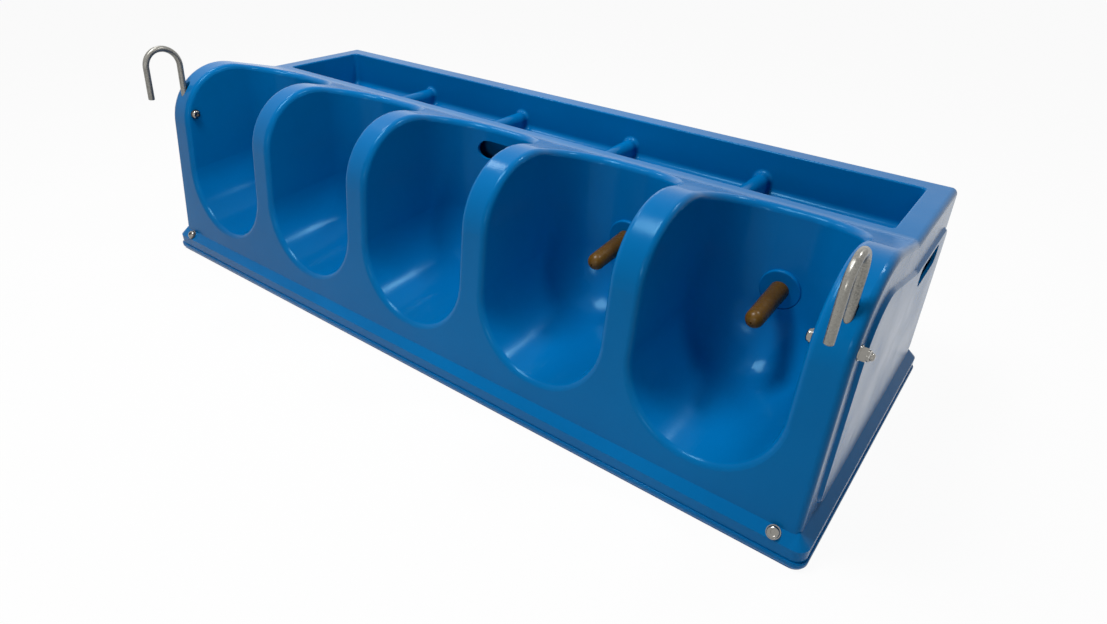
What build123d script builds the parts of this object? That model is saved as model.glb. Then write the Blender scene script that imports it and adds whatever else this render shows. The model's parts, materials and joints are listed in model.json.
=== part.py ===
from build123d import *
from math import acos, atan2, cos, degrees, hypot, radians, sin, sqrt, tan
import os

# A five-bay calf feeder: a hollow moulded body with a milk trough behind five feeding bays,
# a rubber teat and its valve in each bay, and two bent-rod hooks that hang it on a gate rail.
# Millimetres. X runs along the trough, the bays face -Y, +Z is up.
# The origin is in the middle of the underside of the base.

# Base flange
base_length = 1500.0
base_depth = 588.0
base_tier_height = 13.0
base_tier_step = 2.5
base_edge_radius = 8.0
base_corner_radius = 18.0
flange_side_height = 33.0
flange_chamfer = 17.0

# Moulded walls
wall = 5.0
outer_edge_radius = 10.0
bay_edge_radius = 10.0
rim_edge_radius = 3.0

# Upper body
rim_height = 364.0
rim_end_setback = 25.0
end_draft = 1.1
rear_rim_setback = 25.0
rear_draft = 1.1
rear_rim_radius = 12.0
shoulder_radius = 120.0
shoulder_drop = 86.0
shoulder_setback = 164.0
front_lean = 6.6
crest_foot_gap = 22.3
saddle_radius = 60.0

# Feeding bays
bay_count = 5
bay_depth = 292.0
end_wall_width = 54.0
divider_width = 53.0
bay_floor_flat = 6.0
bay_corner_step = 20.0
bay_floor_height = 85.0
bay_floor_slope = 4.5
bay_back_lean = 2.0

# Milk trough
end_rim_width = 41.0
front_rim_width = 37.0
rear_rim_width = 42.0
trough_front_draft = 3.0
trough_rear_draft = 2.0
trough_front_depth = 152.0
trough_rear_depth = 71.0
trough_floor_radius = 12.0
trough_corner_radius = 8.0
partition_thickness = 30.0
partition_drop = 40.0
partition_flare = 7.0

# Hand holes
hand_hole_length = 118.0
hand_hole_height = 35.0
hand_hole_depth = 15.0
hand_hole_drop = 43.0
end_hole_drop = 84.0
end_hole_setback = 160.0

# End panels
panel_height = 4.5
panel_border = 46.0
panel_top_drop = 56.0
panel_rear_gap = 16.0
panel_foot_gap = 4.0
panel_side_slope = 45.0
panel_corner_radius = 25.0
panel_edge_radius = 2.0

# Teats
teat_rise = 24.0
teat_tilt = 4.5
teat_reach = 105.0
teat_base_radius = 15.5
teat_tip_radius = 14.5
teat_bore_radius = 9.0
teat_tip_wall = 9.0
teat_outlet_radius = 1.5
teat_neck_radius = 13.0
teat_flange_radius = 22.0
teat_flange_thickness = 5.0
teat_hole_clearance = 0.1
seat_radius = 33.5
seat_proud = 2.5
seat_wall = 7.0
seat_edge_radius = 2.5
pocket_radius = 27.5

# Teat valves
valve_flange_radius = 21.0
valve_flange_thickness = 4.0
valve_fit_clearance = 0.05
valve_barrel_length = 12.0
valve_barrel_wall = 1.9
valve_web_station = -5.0
valve_web_thickness = 2.0
valve_port_radius = 1.5
valve_port_circle = 3.9
valve_port_count = 4
flap_radius = 6.0
flap_thickness = 1.2
flap_stem_radius = 1.5
flap_bulb_radius = 2.2
flap_bulb_length = 2.0

# Gate hooks
hook_inset = 22.0
hook_rod_diameter = 12.0
hook_lean = 5.0
hook_leg_length = 95.0
hook_spacing = 70.0
hook_free_leg_length = 63.0
hook_eye_radius = 11.0
hook_eye_thickness = 10.0
hook_pivot_depth = 18.2
hook_pivot_angle = 19.5
hook_slot_width = 13.0
hook_slot_length = 22.0
hook_slot_clearance = 0.6
hook_running_clearance = 0.08
hook_side_clearance = 0.15
hook_end_chamfer = 1.0

# Cross bolts of the hooks
bolt_radius = 5.0
bolt_tip_reach = 5.4
bolt_hole_radius = 5.5
bolt_head_radius = 8.75
bolt_head_height = 5.5
bolt_head_round = 4.2
bolt_socket_flats = 6.0
bolt_socket_depth = 3.2
bolt_tip_radius = 3.5
washer_radius = 10.0
washer_thickness = 2.0
washer_hole_radius = 5.25
nut_flats = 17.0
nut_height = 8.0
nut_collar_radius = 7.4
nut_collar_height = 3.0
nut_collar_round = 1.0
nut_bore_radius = 5.05
spacer_radius = 8.0
spacer_bore_radius = 5.2
bolt_spot_radius = 10.5
bolt_spot_depth = 0.4

# Base screws
base_screw_inset = 51.0
base_screw_rise = 10.2
base_screw_length = 25.0
insert_radius = 7.0
insert_length = 26.0
insert_bore_length = 24.0
insert_boss_radius = 12.0
insert_boss_length = 31.0

# How far a cutter runs past what it cuts
cut_margin = 1.0

# Worked-out places along Y
front_y = -base_depth / 2
rear_y = base_depth / 2
shoulder_y = front_y + shoulder_setback
bay_back_y = front_y + bay_depth
trough_front_y = bay_back_y + front_rim_width
crest_foot_y = trough_front_y - crest_foot_gap
rear_rim_y = rear_y - rear_rim_setback
trough_rear_y = rear_rim_y - rear_rim_width

# Worked-out heights
flange_top = flange_side_height + flange_chamfer
shoulder_height = rim_height - shoulder_drop
trough_floor_front = rim_height - trough_front_depth
trough_floor_rear = rim_height - trough_rear_depth
teat_height = trough_floor_front + teat_rise
high = rim_height + 2 * shoulder_radius

# Slope of the crest, which is tangent to the shoulder
crest_reach = hypot(crest_foot_y - shoulder_y, shoulder_drop)
crest_slope = degrees(atan2(crest_foot_y - shoulder_y, shoulder_drop) - acos(shoulder_radius / crest_reach))

# Worked-out places along X
rim_end_x = base_length / 2 - rim_end_setback
end_inner_x = rim_end_x - end_wall_width
bay_pitch = (2 * end_inner_x + divider_width) / bay_count
bay_width = bay_pitch - divider_width
bay_floor_radius = (bay_width - bay_floor_flat) / 2
bay_corner_radius = bay_floor_radius - bay_corner_step
bay_centres = [(i - (bay_count - 1) / 2) * bay_pitch for i in range(bay_count)]
divider_centres = [x + bay_pitch / 2 for x in bay_centres[:-1]]
base_screw_x = base_length / 2 - base_screw_inset

# The hooks' bolts
hook_x = rim_end_x - hook_inset
hook_pivot_y = shoulder_y - (shoulder_radius - hook_pivot_depth) * cos(radians(hook_pivot_angle))
hook_pivot_height = shoulder_height + (shoulder_radius - hook_pivot_depth) * sin(radians(hook_pivot_angle))
outer_seat_x = rim_end_x + (rim_height - hook_pivot_height) * tan(radians(end_draft)) - bolt_spot_depth
nut_stack = washer_thickness + nut_height + nut_collar_height
bolt_length = outer_seat_x - end_inner_x + washer_thickness + nut_stack + bolt_tip_reach


def tangent(angle):
    return tan(radians(angle))


def mitre(inset):
    """Shift of the sides that keeps a wall's thickness along a 45 degree slope."""
    return inset * tangent(45 / 2)


def bay_back(z):
    """Depth position of the bays' back wall at a height."""
    return bay_back_y - (rim_height - z) * tangent(bay_back_lean)


def trough_front(z):
    """Depth position of the trough's front wall at a height."""
    return trough_front_y + (rim_height - z) * tangent(trough_front_draft)


def end_face(z):
    """Distance of the end walls' outer faces from the middle at a height."""
    return rim_end_x + (rim_height - z) * tangent(end_draft)


def lies_on(edge, outline):
    """True for an edge whose side view runs along an outline in the Y-Z plane."""
    for step in (0.05, 0.3, 0.5, 0.7, 0.95):
        point = edge @ step
        if outline.distance_to(Vector(0, point.Y, point.Z)) > 0.05:
            return False
    return True


def bar(radius, start, end):
    """Round bar along Z between two heights."""
    return Pos(0, 0, start) * Cylinder(radius, end - start, align=(Align.CENTER, Align.CENTER, Align.MIN))


# Side outline shared by the dividers and the end walls
def side_outline(inset):
    """Closed outline in the Y-Z plane, moved inwards by an inset."""
    lean = radians(front_lean)
    slope = radians(crest_slope)
    radius = shoulder_radius - inset
    saddle = saddle_radius + inset
    rim = rim_height - inset
    centre = Vector(shoulder_y, shoulder_height)
    middle = (slope + lean - radians(90)) / 2
    front_top = centre + Vector(-cos(lean), sin(lean)) * radius
    shoulder_top = centre + Vector(sin(middle), cos(middle)) * radius
    crest_start = centre + Vector(sin(slope), cos(slope)) * radius
    foot = Vector(front_top.X - (front_top.Y - base_tier_height) * tan(lean), base_tier_height)
    meet_y = crest_start.X + (crest_start.Y - rim) / tan(slope)
    run = saddle * tan(slope / 2)
    saddle_start = Vector(meet_y - run * cos(slope), rim + run * sin(slope))
    saddle_end = Vector(meet_y + run, rim)
    sag = saddle * (1 - cos(slope / 2))
    saddle_middle = Vector(saddle_end.X - saddle * sin(slope / 2), rim + sag)
    rear_top = Vector(rear_rim_y - inset * (1 + tangent(rear_draft)), rim)
    rear_foot = Vector(rear_top.X + (rim - base_tier_height) * tangent(rear_draft), base_tier_height)
    face = make_face(
        [
            Line(foot, front_top),
            ThreePointArc(front_top, shoulder_top, crest_start),
            Line(crest_start, saddle_start),
            ThreePointArc(saddle_start, saddle_middle, saddle_end),
            Line(saddle_end, rear_top),
            Line(rear_top, rear_foot),
            Line(rear_foot, foot),
        ]
    )
    corner = face.vertices().sort_by_distance((rear_top.X, rim, 0))[0]
    return Plane.YZ * fillet(corner, rear_rim_radius - inset)


def upper_block(inset):
    """The body above the flange, before the bays and the trough are taken out of it."""
    block = extrude(side_outline(inset), rim_end_x + outer_edge_radius, both=True)
    low_x = end_face(0) - inset
    high_x = end_face(high) - inset
    ends = Polyline((-low_x, 0), (low_x, 0), (high_x, high), (-high_x, high), close=True)
    return block & extrude(Plane.XZ * make_face(ends), base_depth, both=True)


def base_block(inset):
    """The flange above the parting line, with its chamfer."""
    length = base_length - 2 * base_tier_step - 2 * inset
    depth = base_depth - 2 * base_tier_step - 2 * inset
    block = Pos(0, 0, inset) * Box(
        length, depth, flange_top - inset, align=(Align.CENTER, Align.CENTER, Align.MIN)
    )
    block = fillet(block.edges().filter_by(Axis.Z), base_corner_radius + inset)
    edges = block.edges().group_by(Axis.Z)[-1]
    return chamfer(edges, flange_chamfer + mitre(inset))


def base_tier():
    """The lip under the parting line, a little proud of the flange."""
    tier = Box(
        base_length, base_depth, base_tier_height, align=(Align.CENTER, Align.CENTER, Align.MIN)
    )
    tier = fillet(tier.edges().filter_by(Axis.Z), base_corner_radius)
    tier = fillet(tier.edges().group_by(Axis.Z)[0], base_edge_radius)
    return chamfer(tier.edges().group_by(Axis.Z)[-1], base_tier_step / 2)


# Feeding bays
def bay_space(x, grow):
    """The scoop that a bay takes out of the body, grown by a wall or not at all."""
    slope = tangent(bay_floor_slope)
    lean = tangent(bay_back_lean)
    half = bay_width / 2 + grow
    start_y = front_y - bay_pitch
    mouth_y = front_y + base_tier_step + flange_chamfer
    start_z = bay_floor_height - grow + (start_y - mouth_y) * slope
    back_at_zero = bay_back(0) + grow
    back_z = (start_z + (back_at_zero - start_y) * slope) / (1 - slope * lean)
    outline = Polyline(
        (start_y, start_z),
        (bay_back(back_z) + grow, back_z),
        (bay_back(high) + grow, high),
        (start_y, high),
        close=True,
    )
    space = extrude(Plane.YZ * make_face(outline), half, both=True)
    floor = Line((0, start_y, start_z), (0, bay_back(back_z) + grow, back_z))
    back = Line((0, bay_back(back_z) + grow, back_z), (0, bay_back(high) + grow, high))
    lower = [e for e in space.edges() if lies_on(e, floor) and e.length > bay_depth]
    space = fillet(lower, bay_floor_radius + grow)
    back_edges = [e for e in space.edges() if lies_on(e, back)]
    space = fillet(back_edges, bay_corner_radius + grow)
    return Pos(x, 0, 0) * space


def in_a_bay(point):
    near = min(abs(point.X - x) for x in bay_centres)
    return near < bay_width / 2 + wall + 0.01 and point.Z > flange_top


def round_bay_mouths(body, inset):
    """Rounds the edges where the bays break out through the side outline."""
    outline = side_outline(inset).face().outer_wire()
    edges = [e for e in body.edges() if in_a_bay(e.center()) and lies_on(e, outline)]
    edges = [e for e in edges if in_a_bay(e @ 0.05) and in_a_bay(e @ 0.95)]
    return fillet(edges, bay_edge_radius - inset)


# Milk trough
def trough_space(grow):
    """The trough with its partitions left standing, grown by a wall or not at all."""
    rear_foot = trough_rear_y - (rim_height - trough_floor_rear) * tangent(trough_rear_draft)
    front_foot = trough_front(trough_floor_front)
    top = rim_height + wall
    rear_top = trough_rear_y + wall * tangent(trough_rear_draft)
    outline = Polyline(
        (front_foot - grow, trough_floor_front - grow),
        (rear_foot + grow, trough_floor_rear - grow),
        (rear_top + grow, top),
        (trough_front(top) - grow, top),
        close=True,
    )
    face = make_face(outline)
    face = fillet(face.vertices().group_by(Axis.Y)[0], trough_floor_radius + grow)
    lower = face.vertices().sort_by_distance((rear_foot + grow, trough_floor_rear - grow, 0))[0]
    face = Plane.YZ * fillet(lower, trough_floor_radius + grow)
    half = rim_end_x - end_rim_width + grow
    space = extrude(face, half, both=True)
    upright = [e for e in space.edges() if abs(abs(e.center().X) - half) < 0.01]
    upright = [e for e in upright if abs((e % 0.5).Z) > 0.9 and e.length > rear_rim_width]
    space = fillet(upright, trough_corner_radius)
    for x in divider_centres:
        space -= Pos(x, 0, 0) * partition(grow)
    if grow > 0:
        return space
    rim = face.face().outer_wire()
    reach = partition_thickness / 2 + 0.01
    flares = [
        e
        for e in space.edges()
        if lies_on(e, rim) and min(abs(e.center().X - x) for x in divider_centres) < reach
    ]
    return fillet(flares, partition_flare)


def partition(inset):
    """One low partition with a round top, running through from front to rear."""
    radius = partition_thickness / 2 - inset
    round_z = rim_height - partition_drop - inset - radius
    sides = Polyline((-radius, round_z), (-radius, 0), (radius, 0), (radius, round_z))
    top = ThreePointArc((-radius, round_z), (0, round_z + radius), (radius, round_z))
    return extrude(Plane.XZ * make_face([*sides.edges(), top]), base_depth, both=True)


# End panels
def end_panel(inset):
    """Right-hand raised panel on the end wall, moved inwards by an inset. It follows the shoulder."""
    tilt = radians(end_draft)
    lean = radians(front_lean)
    slope = radians(crest_slope)
    radius = shoulder_radius - panel_border - mitre(inset)
    foot_z = flange_top + panel_foot_gap + mitre(inset)
    top = rim_height - panel_top_drop - mitre(inset)
    rear = rear_rim_y - panel_rear_gap - mitre(inset)
    centre = Vector(shoulder_y, shoulder_height)
    middle = (slope + lean - radians(90)) / 2
    front_top = centre + Vector(-cos(lean), sin(lean)) * radius
    shoulder_top = centre + Vector(sin(middle), cos(middle)) * radius
    crest_start = centre + Vector(sin(slope), cos(slope)) * radius
    meet = Vector(crest_start.X + (crest_start.Y - top) / tan(slope), top)
    foot = Vector(front_top.X - (front_top.Y - foot_z) * tan(lean), foot_z)
    face = make_face(
        [
            Line(foot, (rear, foot_z)),
            Line((rear, foot_z), (rear, top)),
            Line((rear, top), meet),
            Line(meet, crest_start),
            ThreePointArc(crest_start, shoulder_top, front_top),
            Line(front_top, foot),
        ]
    )
    for corner in (meet, foot, Vector(rear, top), Vector(rear, foot_z)):
        face = fillet(face.vertices().sort_by_distance((corner.X, corner.Y, 0))[0], panel_corner_radius)
    outward = Vector(cos(tilt), 0, sin(tilt))
    face = Plane(origin=(end_face(0) - inset, 0, 0), x_dir=(0, 1, 0), z_dir=outward) * face
    raised = extrude(face, panel_height, dir=outward, taper=panel_side_slope)
    return raised + extrude(face, wall / 2, dir=-outward)


# Teat seats
def teat_place(x):
    """Place of a teat's seat: local Z runs out along the teat."""
    tilt = radians(teat_tilt)
    origin = (x, bay_back(teat_height) - seat_proud, teat_height)
    return Plane(origin=origin, x_dir=(1, 0, 0), z_dir=(0, -cos(tilt), -sin(tilt))).location


milk_station = -(trough_front(teat_height) - bay_back(teat_height) + seat_proud)


# Hardware that lies along +X
def ring(outer, inner, length):
    """Tube along +X that starts at the origin."""
    return Rot(0, 90, 0) * (bar(outer, 0, length) - bar(inner, -cut_margin, length + cut_margin))


def button_screw(length):
    """Button-head screw along +X: the underside of its head is at the origin."""
    shank = bar(bolt_radius, 0, length)
    shank = fillet(shank.edges().group_by(Axis.Z)[-1], bolt_tip_radius)
    head = bar(bolt_head_radius, -bolt_head_height, 0)
    head = fillet(head.edges().group_by(Axis.Z)[0], bolt_head_round)
    socket = extrude(RegularPolygon(bolt_socket_flats / 2, 6, major_radius=False), bolt_socket_depth)
    return Rot(0, 90, 0) * (head + shank - Pos(0, 0, -bolt_head_height) * socket)


def collar_nut():
    """Hexagon nut along +X with the round collar of its locking ring."""
    hexagon = extrude(RegularPolygon(nut_flats / 2, 6, major_radius=False), nut_height)
    top = nut_flats / 2
    foot = top + nut_height * tangent(60)
    crown = Cone(foot, top, nut_height, align=(Align.CENTER, Align.CENTER, Align.MIN))
    collar = bar(nut_collar_radius, nut_height / 2, nut_height + nut_collar_height)
    collar = fillet(collar.edges().group_by(Axis.Z)[-1], nut_collar_round)
    nut = (hexagon & crown) + collar - bar(nut_bore_radius, -cut_margin, 2 * nut_height)
    return Rot(0, 90, 0) * nut


def washer():
    return ring(washer_radius, washer_hole_radius, washer_thickness)


def at_pivot(x, shape):
    return Pos(x, hook_pivot_y, hook_pivot_height) * shape


def screw_place(x):
    """Place on the flange chamfer with +X running into the body, square to the chamfer."""
    rise = base_screw_rise * sin(radians(45))
    y = front_y + base_tier_step + rise
    z = flange_side_height + rise
    return Plane(origin=(x, y, z), x_dir=(0, 1, -1), z_dir=(1, 0, 0)).location


# Hooks
def at_hook(shape):
    """Puts a shape made round an upright hook, its eye at the origin, at the right-hand bolt."""
    return at_pivot(hook_x, Rot(-hook_lean, 0, 0) * shape)


def hook():
    """Right-hand hook: a rod bent over the gate rail, with an eye for its cross bolt."""
    radius = hook_spacing / 2
    leg_top = (0, 0, hook_leg_length)
    apex = (0, -radius, hook_leg_length + radius)
    far_top = (0, -hook_spacing, hook_leg_length)
    free_end = (0, -hook_spacing, hook_leg_length - hook_free_leg_length)
    leg = Line((0, 0, 0), leg_top)
    bow = ThreePointArc(leg_top, apex, far_top)
    free_leg = Line(far_top, free_end)
    path = Wire([leg.edge(), bow.edge(), free_leg.edge()])
    section = Plane(origin=path @ 0, z_dir=path % 0) * Circle(hook_rod_diameter / 2)
    rod = sweep(section, path)
    rim = rod.edges().filter_by(GeomType.CIRCLE).sort_by_distance(free_end)[0]
    rod = chamfer(rim, hook_end_chamfer)
    rod += Pos(-hook_eye_thickness / 2, 0, 0) * ring(hook_eye_radius, bolt_radius, hook_eye_thickness)
    bore = Rot(0, 90, 0) * Cylinder(bolt_radius + hook_running_clearance, 4 * hook_rod_diameter)
    return at_hook(rod - bore)


def hook_slot():
    """Slot through the shoulder in line with the hook's leg: its front end stops the hook."""
    front = -hook_rod_diameter / 2 - hook_slot_clearance
    slot = extrude(SlotOverall(hook_slot_length, hook_slot_width, rotation=90), shoulder_radius)
    return at_hook(Pos(0, front + hook_slot_length / 2, 0) * slot)


def hook_spacers():
    """The two tubes on a cross bolt that hold the hook's eye in the middle of the wall."""
    start = end_inner_x + wall
    eye_start = hook_x - hook_rod_diameter / 2 - hook_side_clearance
    eye_end = hook_x + hook_rod_diameter / 2 + hook_side_clearance
    end = outer_seat_x - wall
    inner = at_pivot(start, ring(spacer_radius, spacer_bore_radius, eye_start - start))
    outer = at_pivot(eye_end, ring(spacer_radius, spacer_bore_radius, end - eye_end))
    return Compound([inner.solid(), outer.solid()])


# Moulded body
def hand_hole():
    """Cutter for a hand hole, lying along +Y from the origin."""
    return extrude(Plane.XZ * SlotOverall(hand_hole_length, hand_hole_height), -hand_hole_depth)


def cavity():
    """The hollow inside of the moulding, with the solid places left out of it."""
    space = upper_block(wall)
    for x in bay_centres:
        space -= bay_space(x, wall)
    space = round_bay_mouths(space, wall)
    space += base_block(wall)
    space -= trough_space(wall)
    for x in bay_centres:
        space -= teat_place(x) * bar(seat_radius, 1.5 * milk_station, seat_radius)
    panel = end_panel(wall)
    space += panel
    space += mirror(panel, Plane.YZ)
    boss = screw_place(base_screw_x) * Rot(0, 90, 0) * bar(insert_boss_radius, -wall, insert_boss_length)
    space -= boss
    space -= mirror(boss, Plane.YZ)
    return space


def feeder_body():
    body = upper_block(0)
    rounded = [e for e in body.edges() if abs(abs(e.center().X) - end_face(e.center().Z)) < 0.5]
    rounded = [e for e in rounded if e.center().Z > base_tier_height + cut_margin]
    body = fillet(rounded, outer_edge_radius)
    for x in bay_centres:
        body -= bay_space(x, 0)
    body = round_bay_mouths(body, 0)
    body += base_block(0)
    body += base_tier()
    for x in bay_centres:
        seat = bar(seat_radius, -seat_wall, 0)
        seat = fillet(seat.edges().group_by(Axis.Z)[-1], seat_edge_radius)
        body -= teat_place(x) * bar(seat_radius, -seat_wall, seat_radius)
        body += teat_place(x) * seat
    body -= trough_space(0)
    rim = [e for e in body.edges() if abs(e.center().Z - rim_height) < 0.01]
    rim = [e for e in rim if trough_front_y - 0.1 < (e @ 0).Y < trough_rear_y + 0.1]
    rim = [e for e in rim if trough_front_y - 0.1 < (e @ 1).Y < trough_rear_y + 0.1]
    body = fillet(rim, rim_edge_radius)
    panel = end_panel(0)
    outward = Axis((0, 0, 0), (cos(radians(end_draft)), 0, sin(radians(end_draft))))
    panel = fillet(panel.faces().sort_by(outward)[-1].edges(), panel_edge_radius)
    body += panel
    body += mirror(panel, Plane.YZ)
    body -= cavity()
    for x in bay_centres:
        body -= teat_place(x) * bar(pocket_radius, milk_station - wall, -seat_wall)
        body -= teat_place(x) * bar(teat_neck_radius + teat_hole_clearance, -2 * seat_wall, seat_wall)
    body -= Pos(0, bay_back_y - 2 * wall, rim_height - hand_hole_drop) * hand_hole()
    end_hole_x = end_face(rim_height - end_hole_drop) + panel_height + wall
    end_hole = Pos(end_hole_x, rear_y - end_hole_setback, rim_height - end_hole_drop)
    end_hole = end_hole * Rot(0, 0, 90) * hand_hole()
    bolt_hole = at_pivot(end_inner_x, Rot(0, 90, 0) * Cylinder(bolt_hole_radius, 4 * end_wall_width))
    spot = at_pivot(outer_seat_x, ring(bolt_spot_radius, bolt_radius, outer_edge_radius))
    pocket = bar(insert_radius, -wall, insert_length) + bar(bolt_spot_radius, -wall, 0)
    pocket = screw_place(base_screw_x) * Rot(0, 90, 0) * pocket
    for cut in (end_hole, bolt_hole, spot, hook_slot(), pocket):
        body -= cut
        body -= mirror(cut, Plane.YZ)
    return body


# Teats and valves, built on their own axis
def teat():
    """Revolved about Z: the seat is at zero and the tip points along +Z."""
    flange_top_z = -seat_wall
    flange_low_z = flange_top_z - teat_flange_thickness
    tip_centre = teat_reach - teat_tip_radius
    bore_centre = teat_reach - teat_tip_wall - teat_bore_radius
    tip_z = tip_centre + sqrt(teat_tip_radius**2 - teat_outlet_radius**2)
    bore_z = bore_centre + sqrt(teat_bore_radius**2 - teat_outlet_radius**2)
    slant = sin(radians(45))
    outside = Polyline(
        (teat_bore_radius, flange_low_z),
        (teat_flange_radius, flange_low_z),
        (teat_flange_radius, flange_top_z),
        (teat_neck_radius, flange_top_z),
        (teat_neck_radius, 0),
        (teat_base_radius, 0),
        (teat_tip_radius, tip_centre),
    )
    tip_middle = (teat_tip_radius * slant, tip_centre + teat_tip_radius * slant)
    bore_middle = (teat_bore_radius * slant, bore_centre + teat_bore_radius * slant)
    tip = ThreePointArc((teat_tip_radius, tip_centre), tip_middle, (teat_outlet_radius, tip_z))
    outlet = Line((teat_outlet_radius, tip_z), (teat_outlet_radius, bore_z))
    dome = ThreePointArc((teat_outlet_radius, bore_z), bore_middle, (teat_bore_radius, bore_centre))
    bore = Line((teat_bore_radius, bore_centre), (teat_bore_radius, flange_low_z))
    face = make_face([*outside.edges(), tip, outlet, dome, bore])
    return revolve(Plane.XZ * face, Axis.Z)


def valve_housing():
    """Plug in the teat's flange: a flanged barrel with a perforated web across it."""
    low = -seat_wall - teat_flange_thickness
    radius = teat_bore_radius - valve_fit_clearance
    housing = bar(valve_flange_radius, low - valve_flange_thickness, low)
    housing = fillet(housing.edges().group_by(Axis.Z)[0], valve_flange_thickness / 4)
    housing += bar(radius, low, low + valve_barrel_length)
    inside = radius - valve_barrel_wall
    web_top = valve_web_station + valve_web_thickness
    housing -= bar(inside, low - 2 * valve_flange_thickness, valve_web_station)
    housing -= bar(inside, web_top, low + 2 * valve_barrel_length)
    housing -= bar(flap_stem_radius, 2 * low, seat_wall)
    for i in range(valve_port_count):
        port = Pos(valve_port_circle, 0, 0) * bar(valve_port_radius, 2 * low, seat_wall)
        housing -= Rot(0, 0, 45 + i * 360 / valve_port_count) * port
    return housing


def valve_flap():
    """Umbrella flap: a thin disc over the ports, its stem and its bulb."""
    web_top = valve_web_station + valve_web_thickness
    flap = bar(flap_radius, web_top, web_top + flap_thickness)
    flap = fillet(flap.edges().group_by(Axis.Z)[-1], flap_thickness / 2)
    flap += bar(flap_stem_radius, valve_web_station - flap_bulb_length, web_top)
    return flap + bar(flap_bulb_radius, valve_web_station - flap_bulb_length, valve_web_station)


# All the pieces by name
def write(name, shape):
    export_step(shape, f"parts/{name}.step")


os.makedirs("parts", exist_ok=True)
write("feeder_body", feeder_body())
for i, x in enumerate(bay_centres, 1):
    write(f"teat_{i}", teat_place(x) * teat())
    write(f"valve_housing_{i}", teat_place(x) * valve_housing())
    write(f"valve_flap_{i}", teat_place(x) * valve_flap())

base_start = Pos(-washer_thickness, 0, 0)
insert = bar(insert_radius, 0, insert_length) - bar(nut_bore_radius, -cut_margin, insert_bore_length)
insert = Rot(0, 90, 0) * insert
right_side = {
    "hook": hook(),
    "hook_bolt": at_pivot(end_inner_x - washer_thickness, button_screw(bolt_length)),
    "hook_head_washer": at_pivot(end_inner_x - washer_thickness, washer()),
    "hook_nut_washer": at_pivot(outer_seat_x, washer()),
    "hook_nut": at_pivot(outer_seat_x + washer_thickness, collar_nut()),
    "hook_spacers": hook_spacers(),
    "base_screw": screw_place(base_screw_x) * base_start * button_screw(base_screw_length),
    "base_washer": screw_place(base_screw_x) * base_start * washer(),
    "base_insert": screw_place(base_screw_x) * insert,
}
for name, shape in right_side.items():
    write(f"{name}_right", shape)
    write(f"{name}_left", mirror(shape, Plane.YZ))
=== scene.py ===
import json
from math import cos, pi, sin, tau

import bmesh
import bpy
from mathutils import Matrix, Vector


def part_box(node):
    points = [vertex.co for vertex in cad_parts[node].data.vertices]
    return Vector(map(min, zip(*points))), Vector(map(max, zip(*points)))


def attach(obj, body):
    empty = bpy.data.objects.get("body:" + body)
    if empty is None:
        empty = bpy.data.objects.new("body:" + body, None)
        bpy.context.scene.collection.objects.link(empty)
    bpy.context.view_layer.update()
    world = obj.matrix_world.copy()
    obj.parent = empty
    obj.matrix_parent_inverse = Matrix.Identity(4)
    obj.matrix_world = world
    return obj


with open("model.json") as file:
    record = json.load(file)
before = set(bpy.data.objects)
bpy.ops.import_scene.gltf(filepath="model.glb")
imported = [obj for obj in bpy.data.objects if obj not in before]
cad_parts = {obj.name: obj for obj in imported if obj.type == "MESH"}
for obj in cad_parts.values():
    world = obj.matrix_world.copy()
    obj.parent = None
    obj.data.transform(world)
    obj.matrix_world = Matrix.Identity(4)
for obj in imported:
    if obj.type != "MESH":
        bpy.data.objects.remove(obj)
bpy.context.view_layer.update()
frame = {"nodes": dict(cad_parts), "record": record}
nodes = frame["nodes"]
body_low, body_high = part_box("feeder_body")

# Camera of the photograph, in metres and in the part's own frame
CAMERA_PLACE = Vector((0.8360, -0.9934, 0.7833))
CAMERA_LOOK = Vector((-0.49438, 0.68917, -0.52974))
CAMERA_RIGHT = Vector((0.80175, 0.59698, 0.02842))
CAMERA_NEAR_LIMIT = 0.01
LENS_MM = 23.24
SENSOR_MM = 36.0

# Colours, linear
BLUE = (0.0, 0.137, 0.385)
BLUE_PALE = (0.0, 0.154, 0.425)
BLUE_DEEP = (0.0, 0.120, 0.345)
BLUE_GLOSS = (0.30, 0.75, 1.0, 1.0)
TEAT_BROWN = (0.090, 0.044, 0.006)
TEAT_AMBER = (0.125, 0.060, 0.006)
ZINC_DARK = (0.13, 0.13, 0.12)
ZINC_LIGHT = (0.31, 0.30, 0.27)
RUST = (0.20, 0.085, 0.02)
STAINLESS = (0.27, 0.26, 0.24)
BRASS = (0.62, 0.43, 0.16)
WHITE_PLASTIC = (0.62, 0.61, 0.58)
BLACK_RUBBER = (0.018, 0.018, 0.018)
WHITE = (1.0, 1.0, 1.0, 1.0)
FLOOR_GREY = (0.8, 0.8, 0.8, 1.0)

# Parts of the noise's range, which lies mostly between 0.3 and 0.7
WHOLE = (0.3, 0.7)
MIDDLE = (0.35, 0.65)
UPPER = (0.35, 0.7)
NARROW = (0.4, 0.6)
PEAKS = (0.70, 0.76)

# Colour sockets of Blender's Mix node, by number because their names repeat
MIX_FIRST = 6
MIX_SECOND = 7
MIX_RESULT = 2

# Surface heights, in metres
MOULDING_WAVES = 0.0009
MOULDING_SKIN = 0.00006
RUBBER_SKIN = 0.00005
ZINC_RUNS = 0.00005
ZINC_GRAIN = 0.00002
TURNING_MARKS = 0.00002
BRASS_MARKS = 0.00004
PLASTIC_GRAIN = 0.00005

# Where the teat's colour starts to clear and where it is clearest, towards its tip
TEAT_CLEARING_Y = -0.070
TEAT_CLEAR_Y = -0.112

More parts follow.
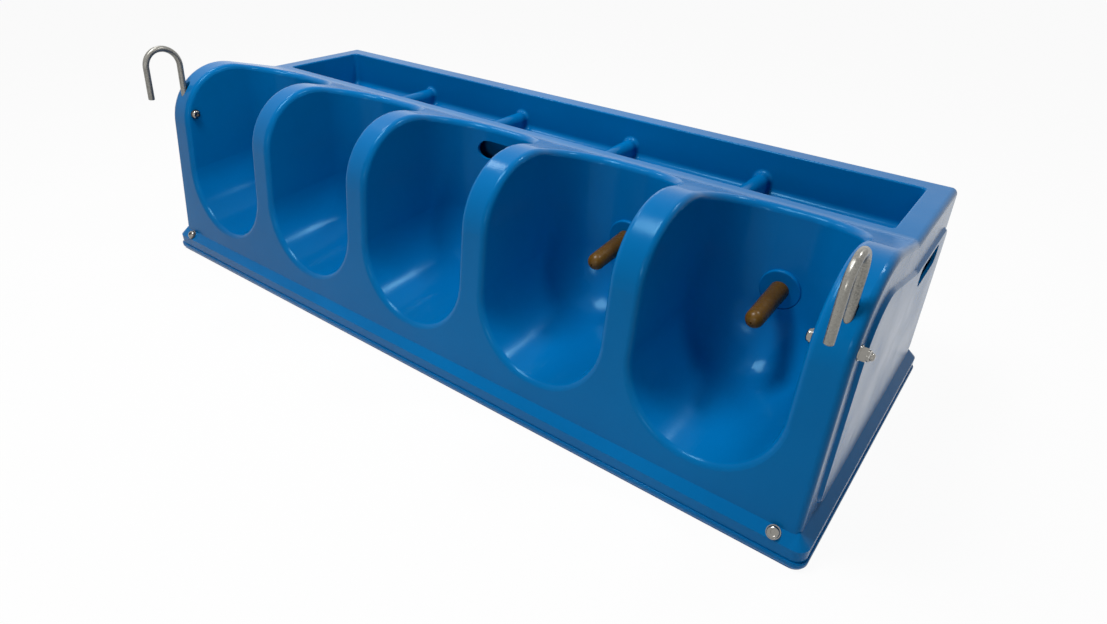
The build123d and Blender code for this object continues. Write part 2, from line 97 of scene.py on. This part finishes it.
# Values of the surfaces that hold everywhere on them
MOULDING_IOR = 1.24
RUBBER_IOR = 1.3
RUBBER_SUBSURFACE = 0.08
RUBBER_SUBSURFACE_RADIUS = (0.006, 0.003, 0.001)
DIRT_SHADE = 0.8
PLASTIC_ROUGHNESS_SPREAD = 0.08


# Material helpers
class Shader:
    """A Principled material with short ways to add its nodes."""

    def __init__(self, name, colour, roughness, metallic=0.0):
        self.material = bpy.data.materials.new(name)
        self.material.use_nodes = True
        self.material.diffuse_color = (*colour, 1.0)
        self.nodes = self.material.node_tree.nodes
        self.links = self.material.node_tree.links
        self.principled = self.nodes["Principled BSDF"]
        self.constant("Base Color", (*colour, 1.0))
        self.constant("Roughness", roughness)
        self.constant("Metallic", metallic)
        self.place = self.nodes.new("ShaderNodeTexCoord").outputs["Object"]

    def constant(self, socket, value):
        self.principled.inputs[socket].default_value = value

    def noise(self, scale, detail=3.0, roughness=0.5, stretch=None):
        """Noise with so many features to the metre."""
        node = self.nodes.new("ShaderNodeTexNoise")
        node.inputs["Scale"].default_value = scale
        node.inputs["Detail"].default_value = detail
        node.inputs["Roughness"].default_value = roughness
        source = self.place
        if stretch:
            mapping = self.nodes.new("ShaderNodeMapping")
            mapping.inputs["Scale"].default_value = stretch
            self.links.new(source, mapping.inputs["Vector"])
            source = mapping.outputs["Vector"]
        self.links.new(source, node.inputs["Vector"])
        return node.outputs["Fac"]

    def ramp(self, source, span, values=(0.0, 1.0)):
        """The span of the source, stretched to run between two values."""
        node = self.nodes.new("ShaderNodeMapRange")
        for end, source_value, value in zip(("Min", "Max"), span, values):
            node.inputs[f"From {end}"].default_value = source_value
            node.inputs[f"To {end}"].default_value = value
        self.links.new(source, node.inputs["Value"])
        return node.outputs["Result"]

    def mix(self, factor, first, second):
        node = self.nodes.new("ShaderNodeMix")
        node.data_type = "RGBA"
        self.links.new(factor, node.inputs["Factor"])
        for number, value in ((MIX_FIRST, first), (MIX_SECOND, second)):
            socket = node.inputs[number]
            if isinstance(value, tuple):
                socket.default_value = (*value, 1.0)
            else:
                self.links.new(value, socket)
        return node.outputs[MIX_RESULT]

    def colour(self, source):
        self.links.new(source, self.principled.inputs["Base Color"])

    def roughness(self, source):
        self.links.new(source, self.principled.inputs["Roughness"])

    def bump(self, *layers):
        """Each layer is a height source and the height in metres that its whole range stands for."""
        normal = None
        for source, height in layers:
            node = self.nodes.new("ShaderNodeBump")
            node.inputs["Distance"].default_value = height
            self.links.new(source, node.inputs["Height"])
            if normal:
                self.links.new(normal, node.inputs["Normal"])
            normal = node.outputs["Normal"]
        self.links.new(normal, self.principled.inputs["Normal"])


def moulded_plastic():
    """Rotationally moulded polyethylene: glossy, faintly wavy, with a fine skin texture."""
    shader = Shader("moulded_polyethylene", BLUE, roughness=0.26)
    clouds = shader.ramp(shader.noise(scale=2.6, detail=4.0), WHOLE)
    grain = shader.ramp(shader.noise(scale=420.0, detail=2.0), MIDDLE, values=(0.0, 0.35))
    colour = shader.mix(clouds, BLUE_DEEP, BLUE_PALE)
    shader.colour(shader.mix(grain, colour, BLUE))
    shader.roughness(shader.ramp(shader.noise(scale=9.0, detail=4.0), WHOLE, values=(0.15, 0.24)))
    waves = shader.noise(scale=11.0, detail=2.0)
    skin = shader.noise(scale=260.0, detail=3.0)
    shader.bump((waves, MOULDING_WAVES), (skin, MOULDING_SKIN))
    shader.constant("IOR", MOULDING_IOR)
    shader.constant("Specular Tint", BLUE_GLOSS)
    return shader.material


def teat_rubber():
    """Brown rubber, a little clearer and more amber towards the tip."""
    shader = Shader("teat_rubber", TEAT_BROWN, roughness=0.36)
    split = shader.nodes.new("ShaderNodeSeparateXYZ")
    shader.links.new(shader.place, split.inputs["Vector"])
    along = shader.ramp(split.outputs["Y"], (TEAT_CLEARING_Y, TEAT_CLEAR_Y))
    mottle = shader.ramp(shader.noise(scale=160.0, detail=4.0), UPPER, values=(0.0, 0.18))
    colour = shader.mix(along, TEAT_BROWN, TEAT_AMBER)
    shader.colour(shader.mix(mottle, colour, TEAT_BROWN))
    shader.roughness(shader.ramp(shader.noise(scale=90.0), WHOLE, values=(0.20, 0.34)))
    shader.bump((shader.noise(scale=700.0), RUBBER_SKIN))
    shader.constant("IOR", RUBBER_IOR)
    shader.constant("Subsurface Weight", RUBBER_SUBSURFACE)
    shader.constant("Subsurface Radius", RUBBER_SUBSURFACE_RADIUS)
    return shader.material


def galvanised():
    """Hot-dip zinc on steel rod: fine grey grain, soft runs and a few rust specks."""
    shader = Shader("galvanised_steel", ZINC_LIGHT, roughness=0.42, metallic=0.6)
    grain = shader.ramp(shader.noise(scale=420.0, detail=5.0, roughness=0.6), WHOLE)
    runs_noise = shader.noise(scale=40.0, stretch=(1.0, 1.0, 0.2))
    runs = shader.ramp(runs_noise, NARROW, values=(0.0, 0.5))
    rust = shader.ramp(shader.noise(scale=130.0, detail=6.0, roughness=0.7), PEAKS)
    colour = shader.mix(grain, ZINC_DARK, ZINC_LIGHT)
    colour = shader.mix(runs, colour, ZINC_LIGHT)
    shader.colour(shader.mix(rust, colour, RUST))
    shader.roughness(shader.ramp(shader.noise(scale=120.0, detail=4.0), WHOLE, values=(0.22, 0.36)))
    coarse = shader.noise(scale=180.0, detail=4.0)
    fine = shader.noise(scale=900.0, detail=2.0)
    shader.bump((coarse, ZINC_RUNS), (fine, ZINC_GRAIN))
    return shader.material


def stainless():
    """Bright stainless steel with faint turning marks and handling marks."""
    shader = Shader("stainless_steel", STAINLESS, roughness=0.18, metallic=1.0)
    marks = shader.ramp(shader.noise(scale=900.0, detail=4.0), UPPER, values=(0.0, 0.3))
    shader.colour(shader.mix(marks, STAINLESS, ZINC_DARK))
    shader.roughness(shader.ramp(shader.noise(scale=220.0, detail=4.0), WHOLE, values=(0.05, 0.14)))
    turned = shader.noise(scale=300.0, detail=2.0, stretch=(6.0, 1.0, 1.0))
    shader.bump((turned, TURNING_MARKS))
    return shader.material


def plain_steel():
    shader = Shader("spacer_steel", ZINC_LIGHT, roughness=0.4, metallic=1.0)
    patches = shader.ramp(shader.noise(scale=200.0), WHOLE)
    shader.colour(shader.mix(patches, ZINC_DARK, ZINC_LIGHT))
    shader.roughness(shader.ramp(shader.noise(scale=150.0), WHOLE, values=(0.3, 0.5)))
    return shader.material


def turned_brass():
    shader = Shader("insert_brass", BRASS, roughness=0.3, metallic=1.0)
    shader.roughness(shader.ramp(shader.noise(scale=300.0), WHOLE, values=(0.22, 0.4)))
    shader.bump((shader.noise(scale=400.0, detail=2.0), BRASS_MARKS))
    return shader.material


def small_plastic(name, colour, roughness):
    """Injection-moulded plastic or thin rubber, with a slight grain."""
    shader = Shader(name, colour, roughness)
    dirt = shader.ramp(shader.noise(scale=120.0, detail=4.0), UPPER, values=(0.0, 0.3))
    dirty = tuple(DIRT_SHADE * part for part in colour)
    shader.colour(shader.mix(dirt, colour, dirty))
    spread = (roughness - PLASTIC_ROUGHNESS_SPREAD, roughness + PLASTIC_ROUGHNESS_SPREAD)
    shader.roughness(shader.ramp(shader.noise(scale=200.0), WHOLE, values=spread))
    shader.bump((shader.noise(scale=800.0, detail=2.0), PLASTIC_GRAIN))
    return shader.material


materials = {
    "body": moulded_plastic(),
    "teat_rubber": teat_rubber(),
    "flap_rubber": small_plastic("flap_rubber", BLACK_RUBBER, roughness=0.5),
    "valve_plastic": small_plastic("valve_plastic", WHITE_PLASTIC, roughness=0.4),
    "galvanised_steel": galvanised(),
    "stainless_steel": stainless(),
    "spacer_steel": plain_steel(),
    "insert_brass": turned_brass(),
}
for part in frame["record"]["subparts"]:
    piece = nodes[part["node"]]
    piece.data.materials.clear()
    piece.data.materials.append(materials[part["material_slot"]])


# Camera
def make_camera():
    camera = bpy.data.objects.new("camera", bpy.data.cameras.new("camera"))
    bpy.context.scene.collection.objects.link(camera)
    look = CAMERA_LOOK.normalized()
    right = (CAMERA_RIGHT - look * CAMERA_RIGHT.dot(look)).normalized()
    up = right.cross(look)
    axes = Matrix((right, up, -look)).transposed().to_4x4()
    camera.matrix_world = Matrix.Translation(CAMERA_PLACE) @ axes
    camera.data.sensor_width = SENSOR_MM
    camera.data.lens = LENS_MM
    camera.data.clip_start = CAMERA_NEAR_LIMIT
    bpy.context.scene.camera = camera


# Lights, floor and surroundings
SOFT_LIGHT = 0.06
PURE_WHITE = 1.0
FLOOR_SIZE = 30.0
FLOOR_DROP = 0.0005
FLOOR_GLOW = 0.95


def area_light(name, place, aim, width, height, watts):
    lamp = bpy.data.lights.new(name, "AREA")
    lamp.shape = "RECTANGLE"
    lamp.size = width
    lamp.size_y = height
    lamp.energy = watts
    light = bpy.data.objects.new(name, lamp)
    bpy.context.scene.collection.objects.link(light)
    light.location = place
    light.rotation_euler = (Vector(aim) - Vector(place)).to_track_quat("-Z", "Y").to_euler()


def seen_directly(tree):
    """One where a ray comes from the camera or off a mirror, and zero for soft light."""
    path = tree.nodes.new("ShaderNodeLightPath")
    total = path.outputs["Is Camera Ray"]
    for name in ("Is Glossy Ray", "Is Transmission Ray"):
        larger = tree.nodes.new("ShaderNodeMath")
        larger.operation = "MAXIMUM"
        first, second = larger.inputs[:2]
        tree.links.new(total, first)
        tree.links.new(path.outputs[name], second)
        total = larger.outputs["Value"]
    return total


def mix_shaders(tree, factor, first, second, output_kind):
    """The first shader where the factor is zero, the second where it is one."""
    mix = tree.nodes.new("ShaderNodeMixShader")
    output = tree.nodes.new(output_kind)
    factor_in, first_in, second_in = mix.inputs[:3]
    tree.links.new(factor, factor_in)
    tree.links.new(first, first_in)
    tree.links.new(second, second_in)
    tree.links.new(mix.outputs["Shader"], output.inputs["Surface"])


def background(tree, strength):
    node = tree.nodes.new("ShaderNodeBackground")
    node.inputs["Color"].default_value = WHITE
    node.inputs["Strength"].default_value = strength
    return node.outputs["Background"]


def make_world():
    world = bpy.data.worlds.new("studio")
    bpy.context.scene.world = world
    world.use_nodes = True
    tree = world.node_tree
    tree.nodes.clear()
    soft = background(tree, SOFT_LIGHT)
    white = background(tree, PURE_WHITE)
    mix_shaders(tree, seen_directly(tree), soft, white, "ShaderNodeOutputWorld")


def floor_material():
    """Part of the floor's white is its own, so that the object keeps only a soft shadow."""
    material = bpy.data.materials.new("white_floor")
    material.use_nodes = True
    tree = material.node_tree
    tree.nodes.clear()
    matt = tree.nodes.new("ShaderNodeBsdfDiffuse")
    matt.inputs["Color"].default_value = FLOOR_GREY
    own = tree.nodes.new("ShaderNodeEmission")
    own.inputs["Strength"].default_value = PURE_WHITE
    share = tree.nodes.new("ShaderNodeMath")
    share.operation = "MULTIPLY"
    direct, glow = share.inputs[:2]
    glow.default_value = FLOOR_GLOW
    tree.links.new(seen_directly(tree), direct)
    mix_shaders(tree, share.outputs["Value"], matt.outputs["BSDF"], own.outputs["Emission"],
                "ShaderNodeOutputMaterial")
    return material


def make_floor():
    mesh = bpy.data.meshes.new("floor")
    half = FLOOR_SIZE / 2
    corners = [(-half, -half, 0.0), (half, -half, 0.0), (half, half, 0.0), (-half, half, 0.0)]
    mesh.from_pydata(corners, [], [(0, 1, 2, 3)])
    floor = bpy.data.objects.new("floor", mesh)
    bpy.context.scene.collection.objects.link(floor)
    floor.location = (0.0, 0.0, body_low[2] - FLOOR_DROP)
    mesh.materials.append(floor_material())


make_camera()
make_world()
make_floor()
area_light("key", (-0.20, -0.58, 2.15), aim=(0.1, -0.1, 0.2), width=0.65, height=0.80, watts=37.0)
area_light("left", (-1.3, 0.1, 2.0), aim=(0.0, -0.1, 0.2), width=0.4, height=0.4, watts=10.0)
area_light("rear", (1.0, 0.9, 2.1), aim=(0.3, -0.1, 0.2), width=0.4, height=0.25, watts=11.0)
area_light("front", (1.1, -2.4, 0.9), aim=(0.4, -0.1, 0.2), width=0.5, height=0.4, watts=7.0)
bpy.context.scene.view_settings.view_transform = "Standard"


# Small visible pieces
UPWARDS = Vector((0.0, 0.0, 1.0))
BACKWARDS = Vector((0.0, 1.0, 0.0))
LEAST_CROSS_LENGTH = 0.1


def mesh_piece(name, mesh, slot, body):
    piece = bpy.data.objects.new(name, mesh)
    bpy.context.scene.collection.objects.link(piece)
    mesh.materials.append(materials[slot])
    for face in mesh.polygons:
        face.use_smooth = True
    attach(piece, body)


def ring_round(work, point, forward, radius, sides):
    """A ring of new vertices round a point of the tube's path."""
    across = forward.cross(UPWARDS)
    if across.length < LEAST_CROSS_LENGTH:
        across = forward.cross(BACKWARDS)
    across.normalize()
    up = across.cross(forward)
    ring = []
    for k in range(sides):
        turn = tau * k / sides
        ring.append(work.verts.new(point + radius * (across * cos(turn) + up * sin(turn))))
    return ring


def tube_along(name, path, radius, closed, sides):
    """Round tube along a list of points, as a mesh."""
    work = bmesh.new()
    rings = []
    count = len(path)
    for i, point in enumerate(path):
        before = path[i - 1] if i or closed else point
        after = path[(i + 1) % count] if i < count - 1 or closed else point
        rings.append(ring_round(work, point, (after - before).normalized(), radius, sides))
    spans = count if closed else count - 1
    for i in range(spans):
        first, second = rings[i], rings[(i + 1) % count]
        for k in range(sides):
            j = (k + 1) % sides
            work.faces.new((first[k], first[j], second[j], second[k]))
    if not closed:
        work.faces.new(list(reversed(rings[0])))
        work.faces.new(rings[-1])
    bmesh.ops.recalc_face_normals(work, faces=work.faces)
    mesh = bpy.data.meshes.new(name)
    work.to_mesh(mesh)
    work.free()
    return mesh


# Parting line of the mould, a fine bead round the base
SEAM_HEIGHT = 0.0128
SEAM_INSET = 0.0013
SEAM_RADIUS = 0.0009
SEAM_CORNER = 0.0175
SEAM_CORNER_STEPS = 12
SEAM_SIDES = 10


def parting_line():
    half_x = body_high[0] - SEAM_INSET - SEAM_CORNER
    half_y = (body_high[1] - body_low[1]) / 2 - SEAM_INSET - SEAM_CORNER
    path = []
    for quarter, (sx, sy) in enumerate(((1, 1), (-1, 1), (-1, -1), (1, -1))):
        corner = Vector((sx * half_x, sy * half_y, SEAM_HEIGHT))
        for k in range(SEAM_CORNER_STEPS + 1):
            turn = (quarter + k / SEAM_CORNER_STEPS) * pi / 2
            path.append(corner + SEAM_CORNER * Vector((cos(turn), sin(turn), 0.0)))
    mesh = tube_along("parting_line", path, SEAM_RADIUS, closed=True, sides=SEAM_SIDES)
    mesh_piece("parting_line", mesh, "body", "feeder")


# Screw thread on the end of each cross bolt past its nut, and the nut's locking ring
THREAD_PITCH = 0.0015
THREAD_RADIUS = 0.0047
THREAD_WIRE = 0.00045
THREAD_TIP_LENGTH = 0.0024
THREAD_STEPS = 24
THREAD_SIDES = 8
NYLON_RADIUS = 0.0063
NYLON_WIRE = 0.0010
NYLON_STEPS = 36
NYLON_SIDES = 10


def circle_point(x, centre, radius, turn):
    """A point at x, turned round an axis along X through the centre's Y and Z."""
    centre_y, centre_z = centre
    return Vector((x, centre_y + radius * cos(turn), centre_z + radius * sin(turn)))


def bolt_thread(side, sign, nut_end, tip, centre):
    turns = (tip - THREAD_TIP_LENGTH - nut_end) / THREAD_PITCH
    path = []
    for k in range(int(turns * THREAD_STEPS) + 1):
        x = sign * (nut_end + THREAD_PITCH * k / THREAD_STEPS)
        path.append(circle_point(x, centre, THREAD_RADIUS, tau * k / THREAD_STEPS))
    name = f"bolt_thread_{side}"
    mesh = tube_along(name, path, THREAD_WIRE, closed=False, sides=THREAD_SIDES)
    mesh_piece(name, mesh, "stainless_steel", "feeder")


def nut_ring(side, sign, nut_end, centre):
    x = sign * (nut_end - NYLON_WIRE / 2)
    path = [circle_point(x, centre, NYLON_RADIUS, tau * k / NYLON_STEPS) for k in range(NYLON_STEPS)]
    name = f"nut_ring_{side}"
    mesh = tube_along(name, path, NYLON_WIRE, closed=True, sides=NYLON_SIDES)
    mesh_piece(name, mesh, "valve_plastic", "feeder")


def dress_bolt(side):
    sign = 1 if side == "right" else -1
    bolt_low, bolt_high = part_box(f"hook_bolt_{side}")
    nut_low, nut_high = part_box(f"hook_nut_{side}")
    centre = ((nut_low[1] + nut_high[1]) / 2, (nut_low[2] + nut_high[2]) / 2)
    nut_end = nut_high[0] if sign > 0 else -nut_low[0]
    tip = bolt_high[0] if sign > 0 else -bolt_low[0]
    bolt_thread(side, sign, nut_end, tip, centre)
    nut_ring(side, sign, nut_end, centre)


parting_line()
for bolt_side in ("left", "right"):
    dress_bolt(bolt_side)
